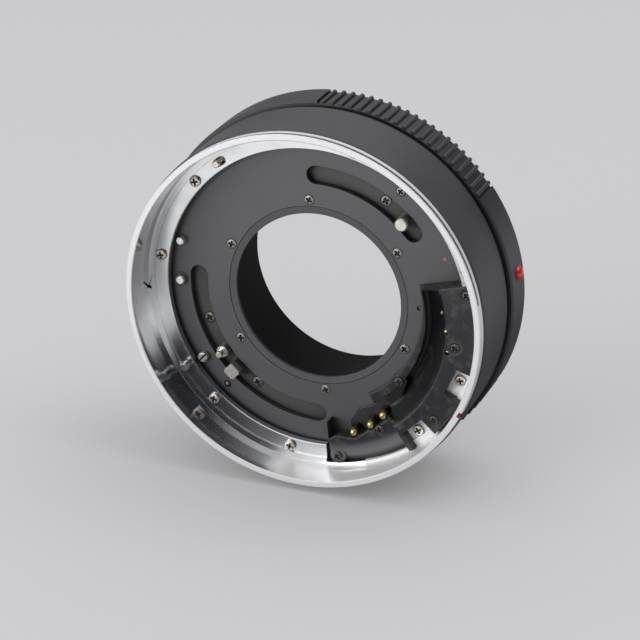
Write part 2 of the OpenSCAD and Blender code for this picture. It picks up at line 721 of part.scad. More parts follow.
module release_rod_lower() {
  color([0.88, 0.87, 0.86]) lay() at(lower_rod[0], lower_rod[1]) release_rod(lower_rod_d, lower_rod_depth);
}

// Bush of the lower release rod
module rod_bush() {
  color([0.20, 0.20, 0.21]) lay() at(lower_rod[0], lower_rod[1])
    ring(lower_rod_d / 2 + run_gap, bush_d / 2 - fit_gap, plate_bottom_z, plate_z + 0.25);
}

// Eccentric adjuster with a screwdriver slot
module slotted_adjuster() {
  color([0.86, 0.85, 0.84]) lay() at(adjuster[0], adjuster[1]) difference() {
    union() {
      stud(adjuster_d, plate_z, adjuster_z, 0.3);
      rod(adjuster_d - 0.4, plate_bottom_z - 0.6, plate_z + 0.01);
    }
    rotate([0, 0, adjuster_slot_a]) translate([0, 0, adjuster_z])
      cube([2 * adjuster_d, adjuster_slot_w, 1.2], center = true);
  }
}

module detent_ball() {
  color([0.80, 0.80, 0.82]) lay() at(ball_at[0], ball_at[1])
    translate([0, 0, plate_z - 0.45]) sphere(d = ball_d);
}

// Cup under the face plate that holds the ball's spring
module detent_cup() {
  color([0.6, 0.57, 0.45]) lay() at(ball_at[0], ball_at[1]) difference() {
    rod(ball_d + 1, plate_bottom_z - 2.4, plate_bottom_z);
    rod(ball_d + 2 * run_gap, plate_bottom_z - 2, plate_bottom_z + cut);
  }
}

// Sprung post that senses a mounted lens
module lens_sense_pin() {
  color([0.84, 0.84, 0.83]) lay() at(sense_at[0], sense_at[1])
    stud(sense_d, plate_bottom_z - shelf_t, flange_z + 2.7, 0.25);
}

// Slider under the flange with the interlock pin
module interlock_slider() {
  r = interlock_at[0];
  a = interlock_at[1];
  color([0.84, 0.80, 0.74]) lay() {
    sector(r - 0.75, r + 2, flange_bottom_z - 1.2, flange_bottom_z - 0.1, a - 4.5, a + 3);
    at(r, a) stud(interlock_d, flange_bottom_z - 0.15, flange_z + 1.6, 0.2);
  }
}

// Holes of the cover's screws
module cover_shanks() {
  for (s = cover_screws) at(s[0], s[1]) shank_hole(s[2] - s[3] - fit_gap, lens_z);
}

// Outline of the insulator, grown by a clearance
function insulator_outline(g) = [for (i = [0 : len(insulator_at) - 1])
  inset(insulator_at[i]) + g * insulator_side[i]];

// Area of the tray that is let into the face plate
module tray_area(g) {
  translate(scoop_at) difference() {
    intersection() {
      circle(r = tray_r + g);
      polygon([[0, 0], [ring_d * cos(tray_a[0]), ring_d * (sin(tray_a[0]) - g / tray_r)],
        [2 * ring_d, 0], [ring_d * cos(tray_a[1]), ring_d * (sin(tray_a[1]) + g / tray_r)]]);
    }
    circle(r = scoop_in_r - scoop_wall - g);
  }
}

// Raised part over the flange and the plate, hollowed by the scoop
module cover_block() {
  foot_z = plate_z + fit_gap;
  over_z = flange_z + fit_gap;
  step_r = flange_r - 0.15;
  strip_z = plate_z + strip_t;
  scoop = [for (i = [0 : 7]) [scoop_in_r + 1 + i * (scoop_out_r - scoop_in_r - 1) / 7,
    scoop_floor_z + (cover_z - scoop_floor_z) * pow(i / 7, 1.25)]];
  difference() {
    union() {
      rotate([0, 0, lobe_a[1]]) rotate_extrude(angle = cover_a - lobe_a[1]) polygon([
        [strip_r, foot_z], [step_r, foot_z], [step_r, over_z], [ledge_r - 0.1, over_z],
        [ledge_r - 0.1, ledge_z + fit_gap], [cover_r, ledge_z + fit_gap], [cover_r, cover_z - edge],
        [cover_r - edge, cover_z], [strip_r, cover_z]]);
      translate([0, 0, plate_bottom_z + fit_gap]) linear_extrude(plate_t + 0.3) tray_area(0);
    }
    translate([scoop_at[0], scoop_at[1], 0]) {
      rotate([0, 0, scoop_a[0]]) rotate_extrude(angle = scoop_a[1] - scoop_a[0])
        polygon(concat([[0, cover_z + 1], [0, strip_z], [scoop_in_r, strip_z], [scoop_in_r, scoop_floor_z]],
          scoop, [[scoop_out_r + 0.4, cover_z + 1]]));
      // past the end of the scoop a sill is left
      rotate([0, 0, scoop_a[1] - 0.1]) rotate_extrude(angle = 15)
        polygon([[0, cover_z + 1], [0, plate_z + 0.45], [scoop_in_r + 1, plate_z + 0.45],
          [scoop_out_r - 0.8, sill_z], [scoop_out_r - 0.2, cover_z + 1]]);
    }
  }
}

// Low lobe beside the large contacts, with a rounded back
module cover_lobe() {
  foot_z = plate_z + fit_gap;
  low_z = flange_bottom_z + fit_gap;
  step_r = flange_r - 0.25;
  hump = [for (i = [0 : 6]) [lobe_r + i * (lobe_foot_r - lobe_r) / 6, lobe_z - lobe_drop * pow(i / 6, 2)]];
  difference() {
    rotate([0, 0, lobe_a[0]]) rotate_extrude(angle = lobe_a[1] - lobe_a[0] + 0.3) polygon(concat(
      [[flange_r - 7.4, foot_z], [flange_r - 7.4, lobe_z]], hump,
      [[lobe_foot_r, low_z], [step_r, low_z], [step_r, foot_z]]));
    linear_extrude(lens_z) polygon(concat([[0, 0]], [for (p = lobe_cut_at) inset(p)]));
  }
  at(lug_screw[0], lug_screw[1]) rod(2 * lug_r, low_z + 0.1, lug_z);
}

// Thin strip with the pad of its screw
module cover_strip() {
  foot_z = plate_z + fit_gap;
  strip_z = plate_z + strip_t;
  at(strip_screw[0], strip_screw[1]) rod(2 * strip_screw_pad, foot_z + 0.05, strip_z + strip_pad_h);
  at(strip_boss[0], strip_boss[1]) rod(strip_boss_d, foot_z + 0.2, strip_z + 0.06);
  translate([0, 0, foot_z + 0.1]) linear_extrude(strip_z - foot_z - 0.13)
    polygon([for (p = wing_at) inset(p)]);
  difference() {
    sector(strip_r + 0.06, flange_r - 5.4, foot_z + 0.03, strip_z - 0.05, strip_a, lobe_a[1] + 2);
    linear_extrude(lens_z) polygon([for (p = strip_cut_at) inset(p)]);
  }
}

// Moulded cover over the contacts
module contact_cover() {
  color([0.22, 0.22, 0.23]) lay() difference() {
    union() {
      cover_block();
      cover_lobe();
      cover_strip();
    }
    for (w = window_a) sector(window_in_r, bore_r + 1, flange_z, cover_z + 1, w[0], w[1]);
    // room for the contacts, the insulator and the screws
    linear_extrude(plate_z + strip_t + cut) polygon(insulator_outline(0.1));
    for (p = pin_at) at_contact(p) rod(pin_d + 0.7, plate_z, lens_z);
    for (p = small_at) at_contact(p) rod(small_pin_d + 2 * run_gap, plate_z + 0.2, lens_z);
    cover_shanks();
    for (s = cover_screws) at(s[0], s[1]) rod(small_head_d + 0.3, s[2], lens_z);
    at(eyelet_at[0], eyelet_at[1]) rod(0.7, lobe_z - 1, lens_z);
  }
}

module contact_cover_screws() {
  color([0.62, 0.61, 0.60]) lay() for (s = cover_screws) at(s[0], s[1]) rotate([0, 0, s[1] * 3])
    translate([0, 0, s[2]]) screw(small_head_d, small_head_h, s[3]);
}

module contact_insulator() {
  color([0.10, 0.10, 0.10]) lay() difference() {
    translate([0, 0, plate_bottom_z + fit_gap]) linear_extrude(plate_t - 0.15) polygon(insulator_outline(0));
    for (p = pin_at) at_contact(p)
      rod(pin_d + 2 * run_gap + 2 * sleeve_wall + 2 * fit_gap, plate_bottom_z - cut, plate_z + cut);
  }
}

// Fixed sleeves of the large contact pins
module contact_sleeves() {
  color([0.72, 0.55, 0.22]) lay() for (p = pin_at) at_contact(p) difference() {
    rod(pin_d + 2 * run_gap + 2 * sleeve_wall, plate_bottom_z + fit_gap, plate_bottom_z + sleeve_h);
    rod(pin_d + 2 * run_gap, plate_bottom_z + 0.3, plate_bottom_z + sleeve_h + cut);
  }
}

// One large contact pin with a round tip
module contact_pin(p) {
  r = pin_d / 2;
  tip_z = lens_z - pin_depth;
  color([0.90, 0.68, 0.28]) lay() at_contact(p) rotate_extrude()
    polygon(concat([[0, plate_bottom_z + 1.6], [r, plate_bottom_z + 1.6]],
      [for (t = [0 : 15 : 90]) [r * cos(t), tip_z - r * 0.8 + r * 0.8 * sin(t)]]));
}

module contact_pin_a() { contact_pin(pin_at[0]); }
module contact_pin_b() { contact_pin(pin_at[1]); }
module contact_pin_c() { contact_pin(pin_at[2]); }

// One small contact pin
module small_contact(p) {
  r = small_pin_d / 2;
  tip_z = lens_z - small_pin_depth;
  color([0.90, 0.70, 0.32]) lay() at_contact(p) rotate_extrude()
    polygon(concat([[0, plate_z + 0.8], [r, plate_z + 0.8]],
      [for (t = [0 : 15 : 90]) [r * cos(t), tip_z - r + r * sin(t)]]));
}

module small_contact_a() { small_contact(small_at[0]); }
module small_contact_b() { small_contact(small_at[1]); }
module small_contact_c() { small_contact(small_at[2]); }

// Seat and spigot at the camera side
module camera_seat_ring() {
  color([0.84, 0.84, 0.86]) lay() difference() {
    rotate_extrude() polygon([
      [web_r, 0], [spigot_bore_r, 0], [spigot_bore_r, -spigot_len + 0.3],
      [spigot_bore_r + 0.3, -spigot_len], [spigot_r - 0.5, -spigot_len],
      [spigot_r, -spigot_len + 0.5], [spigot_r, 0], [seat_face_r, 0], [seat_face_r, seat_step],
      [ring_r - 0.1, seat_step], [ring_r - 0.1, seat_t - fit_gap],
      [web_r, seat_t - fit_gap]]);
    for (a = seat_screw_a) at(seat_screw_r, a) shank_hole(-cut, seat_t + cut);
  }
}

module seat_ring_screws() {
  color([0.78, 0.74, 0.68]) lay() for (a = seat_screw_a) at(seat_screw_r, a)
    rotate([180, 0, 0]) screw(small_head_d, small_head_h, seat_t + 1.8);
}

// Black plate that closes the camera side
module rear_plate() {
  z0 = rear_plate_z - cut;
  z1 = rear_plate_top_z + cut;
  color([0.20, 0.20, 0.21]) lay() difference() {
    ring(light_rear_r + baffle_wall + 0.1, spigot_bore_r - 0.1, rear_plate_z, rear_plate_top_z);
    for (a = [round_pin_a, square_pin_a])
      arc_slot(drive_r, slot_w, z0, z1, a - slot_play, a + drive_turn + slot_play - 6);
    for (p = pillar_at) at(p[0], p[1]) {
      shank_hole(z0, z1);
      rod(small_head_d + 0.3, z0, rear_plate_z + head_sink);
    }
    at(upper_rod[0], upper_rod[1]) rod(upper_rod_d + 2 * run_gap, z0, z1);
    at(lower_rod[0], lower_rod[1]) rod(lower_rod_d + 2 * run_gap, z0, z1);
    for (p = small_at) at_contact(p) rod(small_pad_d + 2 * fit_gap, z0, z1);
  }
}

module rear_plate_screws() {
  color([0.72, 0.71, 0.69]) lay() for (p = pillar_at) at(p[0], p[1])
    translate([0, 0, rear_plate_z + head_sink]) rotate([180, 0, 0])
      screw(small_head_d, small_head_h, rear_t + 1.2);
}

// Insulating block with the contact pads of the camera side
module terminal_block() {
  color([0.12, 0.12, 0.12]) lay() difference() {
    translate([0, 0, -pad_reach + 0.4]) linear_extrude(pad_reach - 0.4 + rear_plate_z)
      polygon(insulator_outline(0));
    for (p = pin_at) at_contact(p) rod(pad_d + 2 * fit_gap, -pad_reach, -pad_reach + 0.9);
  }
}

module terminal_pads() {
  color([0.86, 0.66, 0.30]) lay() {
    for (p = pin_at) at_contact(p) rod(pad_d, -pad_reach, -pad_reach + 0.9);
    for (p = small_at) at_contact(p) rod(small_pad_d, -small_pad_reach, rear_plate_top_z);
  }
}

// Flexible ribbon from the front contacts to the rear block
module contact_ribbon() {
  color([0.45, 0.26, 0.10]) lay() at(ribbon_at[0], ribbon_at[1])
    translate([0, -ribbon_w / 2, rear_plate_top_z])
      cube([ribbon_t, ribbon_w, plate_bottom_z - rear_plate_top_z]);
}

lens_mount_ring();
mount_ring_screws();
lens_index_mark();
ring_wall_key();
barrel();
locking_ring();
locking_ring_index();
locking_ring_retainer();
locking_ring_stop();
face_plate();
face_plate_index();
face_plate_screws();
baffle_tube();
plate_pillars();
cocking_ring();
cocking_ring_screws();
round_cocking_pin();
square_drive_pin();
stepped_stud();
stud_pin();
drive_posts();
rear_drive_ring();
cocking_ring_keeper();
release_rod_upper();
release_rod_lower();
rod_bush();
slotted_adjuster();
detent_ball();
detent_cup();
lens_sense_pin();
interlock_slider();
contact_cover();
contact_cover_screws();
contact_insulator();
contact_sleeves();
contact_pin_a();
contact_pin_b();
contact_pin_c();
small_contact_a();
small_contact_b();
small_contact_c();
camera_seat_ring();
seat_ring_screws();
rear_plate();
rear_plate_screws();
terminal_block();
terminal_pads();
contact_ribbon();
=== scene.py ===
import json

import bmesh
import bpy
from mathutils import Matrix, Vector

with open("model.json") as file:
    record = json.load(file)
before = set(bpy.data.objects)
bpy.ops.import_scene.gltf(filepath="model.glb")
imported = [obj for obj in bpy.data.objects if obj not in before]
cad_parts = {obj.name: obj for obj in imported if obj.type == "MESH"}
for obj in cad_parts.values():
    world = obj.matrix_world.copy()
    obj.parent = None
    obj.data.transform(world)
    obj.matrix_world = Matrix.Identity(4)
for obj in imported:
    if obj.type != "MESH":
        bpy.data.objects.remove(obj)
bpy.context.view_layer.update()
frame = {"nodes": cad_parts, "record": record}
nodes = frame["nodes"]
print("frame loaded,", len(nodes), "nodes")


class Signal:
    # one socket of a material, so that its maths can be written as plain expressions
    def __init__(self, tree, socket=None):
        self.tree = tree
        self.socket = socket

    def make(self, kind, settings=None, inputs=None, output=0):
        node = self.tree.nodes.new(kind)
        for name, value in (settings or {}).items():
            setattr(node, name, value)
        for name, value in (inputs or {}).items():
            if isinstance(value, Signal):
                self.tree.links.new(value.socket, node.inputs[name])
            else:
                node.inputs[name].default_value = value
        return Signal(self.tree, node.outputs[output])

    def part(self, name):
        return Signal(self.tree, self.socket.node.outputs[name])

    def maths(self, operation, *values):
        return self.make("ShaderNodeMath", {"operation": operation}, dict(enumerate(values)))

    def __add__(self, other):
        return self.maths("ADD", self, other)

    def __sub__(self, other):
        return self.maths("SUBTRACT", self, other)

    def __rsub__(self, other):
        return self.maths("SUBTRACT", other, self)

    def __mul__(self, other):
        return self.maths("MULTIPLY", self, other)

    def __pow__(self, other):
        return self.maths("POWER", self, other)

    def __gt__(self, other):
        return self.maths("GREATER_THAN", self, other)

    def __lt__(self, other):
        return self.maths("LESS_THAN", self, other)

    __radd__ = __add__
    __rmul__ = __mul__

    def unsigned(self):
        return self.maths("ABSOLUTE", self)

    def larger(self, other):
        return self.maths("MAXIMUM", self, other)

    def between(self, low, high):
        # 1 from low to high, 0 outside
        return (self > low) * (self < high)

    def within(self, low, high):
        # 0 below low, 1 above high, smooth between
        return self.make("ShaderNodeMapRange", {"interpolation_type": "SMOOTHSTEP"},
                         {"Value": self, "From Min": low, "From Max": high})

    def blend(self, colourA, colourB):
        # colourA where self is 0, colourB where it is 1
        sockets = {0: self, 6: colourA, 7: colourB}
        return self.make("ShaderNodeMix", {"data_type": "RGBA"}, sockets, 2)


def rgb(red, green, blue):
    return (red, green, blue, 1.0)


def tinted(colour, red, green=None, blue=None):
    # one share for all three channels, or one for each
    return rgb(colour[0] * red, colour[1] * (green or red), colour[2] * (blue or red))


black = rgb(0.0, 0.0, 0.0)
# the colour of painted shade deep in recesses
recessShadeBlack = rgb(0.002, 0.002, 0.002)
samples = {"rounded": 4, "crevice": 8}  # of the Bevel and the Ambient Occlusion node


class Finish:
    # a material with one Principled shader, and the coordinates that its patterns need
    def __init__(self, name, base, metallic, roughness):
        self.material = bpy.data.materials.new(name)
        self.material.use_nodes = True
        tree = self.material.node_tree
        self.shader = tree.nodes["Principled BSDF"]
        self.start = Signal(tree)
        self.set("Base Color", base)
        self.set("Metallic", metallic)
        self.set("Roughness", roughness)
        self.place = self.start.make("ShaderNodeTexCoord", output="Object")
        self.x = self.start.make("ShaderNodeSeparateXYZ", None, {0: self.place})
        self.y = self.x.part(1)
        self.z = self.x.part(2)

    def set(self, key, value):
        socket = self.shader.inputs[key]
        if isinstance(value, Signal):
            self.start.tree.links.new(value.socket, socket)
        else:
            socket.default_value = value

    def noise(self, scale, detail, roughness, place=None):
        return self.start.make("ShaderNodeTexNoise", None, {
            "Vector": place or self.place, "Scale": scale, "Detail": detail, "Roughness": roughness})

    def distance(self, x, z):
        # from a line along the tube
        across = self.x - x
        up = self.z - z
        return (across * across + up * up) ** 0.5

    def radius(self):
        # distance from the tube's axis
        return (self.x * self.x + self.z * self.z) ** 0.5

    def angle(self):
        # round the tube's axis in radians, 0 at +X and rising towards +Z
        return self.start.maths("ARCTAN2", self.z, self.x)

    def turned(self, across, along):
        # coordinates that stretch a pattern round the tube, as a lathe tool leaves it
        return self.start.make("ShaderNodeCombineXYZ", None, {
            0: self.radius() * across, 1: self.y * across, 2: self.angle() * along})

    def bump(self, height, distance, strength, base=None):
        sockets = {"Height": height, "Distance": distance, "Strength": strength}
        if base:
            sockets["Normal"] = base
        return self.start.make("ShaderNodeBump", None, sockets)

    def trueNormal(self):
        return self.start.make("ShaderNodeNewGeometry", output="Normal")

    def rounded(self, size):
        # softens the edges of the CAD meshes
        return self.start.make("ShaderNodeBevel", {"samples": samples["rounded"]}, {"Radius": size})

    def crevice(self, distance, low, high):
        # 1 deep in recesses, 0 in the open
        openness = self.start.make("ShaderNodeAmbientOcclusion", {"samples": samples["crevice"]},
                                   {"Distance": distance}, 1)
        return (1.0 - openness).within(low, high)

    def edges(self, soft, low=0.02, high=0.25):
        # 1 on edges, 0 on open faces
        sockets = {0: soft, 1: self.trueNormal()}
        facing = self.start.make("ShaderNodeVectorMath", {"operation": "DOT_PRODUCT"}, sockets, 1)
        return (1.0 - facing).within(low, high)


# the plated ring: places are along the tube or from its axis in metres, angles in radians
plating = {
    "polished": rgb(0.80, 0.805, 0.82), "cloudy": rgb(0.62, 0.625, 0.64),
    "satin": rgb(0.70, 0.70, 0.715), "pale": rgb(0.80, 0.80, 0.80),
    "shade": rgb(0.015, 0.014, 0.015), "red": rgb(0.17, 0.008, 0.012),
    "wall": 0.03, "seat": 0.36, "flange": 0.18, "brushed": 0.30,  # roughness
    "satinShare": 0.8, "satinDull": 0.75,  # how satin the brushed wall is, and what satin takes off the metal
    "seatPlace": -0.0313, "grooveEnd": -0.0301, "flangePlace": -0.0212,
    "lipOuter": 0.0496, "lipInner": 0.0485, "sideDepth": 0.0001,
    "windows": (-1.25, -0.1),  # where the flange shows in the windows of the contact cover
    "strip": (-1.83, -1.69, -0.80, -0.62),  # the brushed stretch starts, is full, fades and ends
    "block": {"middle": -0.2915, "half": 0.494},  # where the groove behind the lip is interrupted
    "mark": {"beforeBlock": 0.1545, "half": 0.0165, "inner": 0.0491, "depth": 0.0010},
    "toolMarks": (4200.0, 3.0), "ripple": (1500.0, 2.0),  # how fine across the turning, and along it
    "markDepth": 0.000012, "smudge": 60.0,
    "edge": 0.00012, "rim": 0.00020, "rimDepth": 0.0003, "rimShare": 0.8,
}


def platedRing(name):
    # a polished wall between a satin seat and a turned flange
    f = Finish(name, plating["polished"], 1.0, plating["wall"])
    seat = plating["seatPlace"]
    flange = plating["flangePlace"]
    soft = f.rounded(plating["edge"])
    marks = f.noise(1.0, 2.0, 0.6, f.turned(*plating["toolMarks"]))
    ripple = f.noise(1.0, 3.0, 0.6, f.turned(*plating["ripple"]))
    smudge = f.noise(plating["smudge"], 4.0, 0.6)
    angle = f.angle()
    onFlange = f.y > flange
    windows = onFlange * angle.between(*plating["windows"])
    onSeat = (f.y < seat).larger(f.radius() > plating["lipOuter"]).larger(windows)
    # painted shade: the side of the lip and its groove are dark, but not at the block
    turn = angle - plating["block"]["middle"]
    side = (f.y > seat + plating["sideDepth"]) * (f.y < plating["grooveEnd"])
    shade = side * (f.radius() > plating["lipInner"]) * (turn.unsigned() > plating["block"]["half"])
    # the red index mark comes round the edge of the lip
    mark = plating["mark"]
    away = turn + mark["beforeBlock"]
    onMark = (away.unsigned() < mark["half"]) * (f.radius() > mark["inner"])
    onMark = onMark * (f.y < plating["grooveEnd"] + mark["depth"])
    # the lowest stretch of the wall is only brushed
    first, full, last, end = plating["strip"]
    brushed = angle.within(first, full) * (1.0 - angle.within(last, end)) * (f.y < flange)
    onlyWall = 1.0 - onSeat
    wall = plating["wall"]
    rough = (wall + onSeat * (plating["seat"] - wall) + onFlange * (plating["flange"] - wall)
             + brushed * onlyWall * (plating["brushed"] - wall))
    satin = onSeat.larger(brushed * plating["satinShare"])
    f.set("Metallic", 1.0 - (satin * plating["satinDull"]).larger(onMark))
    f.set("Roughness", rough + marks * 0.05 + smudge.within(0.45, 0.8) * 0.04)
    bright = smudge.within(0.3, 0.8).blend(plating["polished"], plating["cloudy"])
    pale = windows.larger(brushed * onlyWall).blend(satin.blend(bright, plating["satin"]), plating["pale"])
    # painted shade: a dark line along the edges of the seat
    rim = f.edges(f.rounded(plating["rim"])) * (f.y < seat + plating["rimDepth"]) * plating["rimShare"]
    plain = shade.larger(rim).blend(pale, plating["shade"])
    f.set("Base Color", onMark.blend(plain, plating["red"]))
    f.set("Normal", f.bump(marks * 0.75 + ripple * 0.6, plating["markDepth"], 1.0, soft))
    return f.material


anodising = {
    "colour": rgb(0.033, 0.032, 0.038), "worn": rgb(0.16, 0.16, 0.165), "cloudTint": 1.35,
    "roughness": 0.42, "specular": 0.72, "grain": 5200.0, "cloud": 45.0, "rub": 900.0,
    "edge": 0.00018, "recess": 0.0025, "grainDepth": 0.00001,
}
barrel = {"core": 0.0498}  # the radius inside which the barrel is painted dead black, as shade in the gap before the grip ring
grip = {"colour": rgb(0.0215, 0.021, 0.0255), "roughness": 0.38, "shade": (0.26, 0.50)}


def blackAnodised(name, colour=None, roughness=None, core=None, shade=(0.35, 0.62)):
    # shade: how closed in a recess is where the painted shade starts to darken it, and where it is black
    colour = colour or anodising["colour"]
    roughness = roughness or anodising["roughness"]
    f = Finish(name, colour, 0.0, roughness)
    f.set("Specular IOR Level", anodising["specular"])
    soft = f.rounded(anodising["edge"])
    grain = f.noise(anodising["grain"], 2.0, 0.6)
    cloud = f.noise(anodising["cloud"], 4.0, 0.55)
    rub = f.noise(anodising["rub"], 4.0, 0.7).within(0.42, 0.62)
    worn = f.edges(soft) * rub
    body = cloud.within(0.3, 0.75).blend(colour, tinted(colour, anodising["cloudTint"]))
    shown = worn.blend(body, anodising["worn"])
    # painted shade: recesses, and the core of the barrel, darken towards black
    dark = f.crevice(anodising["recess"], *shade)
    if core:
        dark = dark.larger(f.radius() < core)
    f.set("Base Color", dark.blend(shown, recessShadeBlack))
    f.set("Roughness", roughness + cloud * 0.10 - worn * 0.12 + grain * 0.05)
    f.set("Normal", f.bump(grain, anodising["grainDepth"], 0.5, soft))
    return f.material


paint = {
    "colour": rgb(0.041, 0.040, 0.047), "edgeColour": rgb(0.20, 0.20, 0.21), "cloudTint": 1.25,
    "roughness": 0.43, "grain": 3600.0, "cloud": 70.0, "scuff": 420.0, "specks": 1500.0,
    "edge": 0.00012, "recess": 0.005, "recessShare": 0.75, "grainDepth": 0.00002,
}


def mattePaint(name, colour=None, roughness=None, edgeColour=None, specular=1.0):
    colour = colour or paint["colour"]
    roughness = roughness or paint["roughness"]
    f = Finish(name, colour, 0.0, roughness)
    f.set("Specular IOR Level", specular)
    soft = f.rounded(paint["edge"])
    grain = f.noise(paint["grain"], 3.0, 0.65)
    cloud = f.noise(paint["cloud"], 3.0, 0.5)
    scuff = f.noise(paint["scuff"], 5.0, 0.75).within(0.60, 0.74)
    worn = f.edges(soft, 0.03, 0.3)
    body = (cloud.within(0.3, 0.8) * 0.6 + scuff * 0.4).blend(colour, tinted(colour, paint["cloudTint"]))
    specks = f.noise(paint["specks"], 1.0, 0.5).within(0.76, 0.80) * 0.5
    shown = worn.larger(specks).blend(body, edgeColour or paint["edgeColour"])
    # painted shade: the paint darkens towards black in recesses
    dark = f.crevice(paint["recess"], 0.10, 0.60) * paint["recessShare"]
    f.set("Base Color", dark.blend(shown, recessShadeBlack))
    f.set("Roughness", roughness + cloud * 0.08 - worn * 0.15)
    f.set("Normal", f.bump(grain, paint["grainDepth"], 0.6, soft))
    return f.material


baffle = {
    "collar": rgb(0.085, 0.084, 0.090), "inside": rgb(0.005, 0.005, 0.0065),
    "insideCloud": rgb(0.008, 0.008, 0.010), "rim": rgb(0.20, 0.20, 0.21),
    "roughness": 0.6, "specular": 0.06, "edge": 0.00012,
    "blackFrom": -0.0167, "blackFull": -0.0158,  # along the tube, just behind the collar
}


def lightBaffle(name):
    # the collar is painted grey-black, and the inside is dead black
    f = Finish(name, baffle["inside"], 0.0, baffle["roughness"])
    soft = f.rounded(baffle["edge"])
    inside = f.y.within(baffle["blackFrom"], baffle["blackFull"])
    grain = f.noise(paint["grain"], 3.0, 0.65)
    cloud = f.noise(paint["cloud"], 3.0, 0.5)
    bore = cloud.within(0.3, 0.8).blend(baffle["inside"], baffle["insideCloud"])
    body = inside.blend(baffle["collar"], bore)
    f.set("Specular IOR Level", baffle["specular"])
    f.set("Base Color", f.edges(soft, 0.05, 0.35).blend(body, baffle["rim"]))
    f.set("Roughness", baffle["roughness"] + cloud * 0.1)
    f.set("Normal", f.bump(grain, paint["grainDepth"], 0.6, soft))
    return f.material


# the plastic of the contact cover and of the insulator
moulding = {
    "colour": rgb(0.014, 0.014, 0.016), "dust": rgb(0.056, 0.057, 0.061),
    "crestHighlight": rgb(0.125, 0.123, 0.135), "shade": rgb(0.003, 0.003, 0.004),
    "roughness": 0.30, "specular": 0.6,
    "grain": 2600.0, "smear": 260.0, "lint": 1900.0, "edge": 0.0008, "grainDepth": 0.00002,
}
# places on the contact cover, along the tube, across it and round it
cover = {
    "scoop": {"shallow": -0.0234, "deep": -0.0214, "first": -0.93, "last": 0.27},
    "innerEdge": {"x": 0.0005, "z": -0.0025, "radius": 0.0302},
    "windowSides": {"place": -0.0231, "radius": 0.0395},
    "pocket": {"x": 0.0250, "z": -0.0282, "full": 0.0016, "end": 0.0032, "place": -0.0232},
    "crest": {"start": 0.0405, "top": 0.0447, "end": 0.0467, "share": 0.85},
}


def mouldedPlastic(name, colour=None, scooped=False):
    colour = colour or moulding["colour"]
    f = Finish(name, colour, 0.0, moulding["roughness"])
    f.set("Specular IOR Level", moulding["specular"])
    soft = f.rounded(moulding["edge"])
    grain = f.noise(moulding["grain"], 3.0, 0.7)
    smear = f.noise(moulding["smear"], 5.0, 0.72).within(0.50, 0.68)
    lint = f.noise(moulding["lint"], 2.0, 0.6).within(0.66, 0.74)
    dust = smear.larger(lint)
    body = (dust * 0.6).larger(f.edges(soft, 0.05, 0.4) * 0.9).blend(colour, moulding["dust"])
    # the contact cover gets painted shade and a painted highlight
    if scooped:
        body = coverShadeAndHighlight(f, body)
    f.set("Base Color", body)
    f.set("Roughness", moulding["roughness"] + dust * 0.25 + grain * 0.06)
    f.set("Normal", f.bump(grain, moulding["grainDepth"], 0.45, soft))
    return f.material


def coverShadeAndHighlight(f, body):
    # painted shade on the contact cover, and a painted highlight on the crest of its lobe
    scoop = cover["scoop"]
    angle = f.angle()
    inner = cover["innerEdge"]
    outside = f.distance(inner["x"], inner["z"]) > inner["radius"]
    # painted shade in the scoop, outside its inner edge
    inScoop = f.y.within(scoop["shallow"], scoop["deep"]) * angle.between(scoop["first"], scoop["last"])
    # painted shade on the walls of the two windows over the flange
    sides = cover["windowSides"]
    onSides = (f.y > sides["place"]) * (f.radius() > sides["radius"]) * (angle > scoop["first"])
    # painted shade: a black spot at the end of the scoop
    pocket = cover["pocket"]
    inPocket = 1.0 - f.distance(pocket["x"], pocket["z"]).within(pocket["full"], pocket["end"])
    inPocket = inPocket * (f.y > pocket["place"])
    body = (inScoop * outside).larger(onSides).larger(inPocket).blend(body, moulding["shade"])
    # painted highlight along the crest of the lobe
    crest = cover["crest"]
    onCrest = f.radius().within(crest["start"], crest["top"])
    onCrest = onCrest * (1.0 - f.radius().within(crest["top"], crest["end"])) * (angle < scoop["first"])
    return (onCrest * crest["share"]).blend(body, moulding["crestHighlight"])


steel = {
    "fine": 14000.0, "patch": 1300.0, "edge": 0.00010, "fineDepth": 0.000006, "outward": -0.9,
    "recess": 0.0006, "recessMetal": 0.1, "stainTint": (0.62, 0.60, 0.56),
}


def turnedSteel(name, colour, roughness, stain=None, stained=0.5, recess=None, floor=None):
    # small turned or milled parts, stained in patches, and with painted shade in their recesses where a
    # recess colour is given
    f = Finish(name, colour, 1.0, roughness)
    soft = f.rounded(steel["edge"])
    fine = f.noise(steel["fine"], 2.0, 0.5)
    patch = f.noise(steel["patch"], 4.0, 0.65)
    stain = stain or tinted(colour, *steel["stainTint"])
    body = (patch.within(0.42, 0.72) * stained).blend(colour, stain)
    if recess:
        dark = f.crevice(steel["recess"], 0.10, 0.34)
        if floor:
            # painted shade also on the floors of the cross recesses, which face the lens side
            facing = f.start.make("ShaderNodeSeparateXYZ", None, {0: f.trueNormal()}, 1)
            dark = dark.larger((f.y > floor) * (facing < steel["outward"]))
        body = dark.blend(body, recess)
        f.set("Metallic", 1.0 - dark * (1.0 - steel["recessMetal"]))
    f.set("Base Color", body)
    f.set("Roughness", roughness + patch * 0.18)
    f.set("Normal", f.bump(fine, steel["fineDepth"], 0.4, soft))
    return f.material


gold = {
    "colour": rgb(0.70, 0.53, 0.26), "deep": rgb(0.33, 0.22, 0.09), "shank": rgb(0.05, 0.04, 0.025),
    "roughness": 0.22, "patch": 1500.0, "fine": 16000.0, "edge": 0.00008, "fineDepth": 0.000005,
    "shankFrom": -0.0215, "shankFull": -0.0190,  # along the tube
}


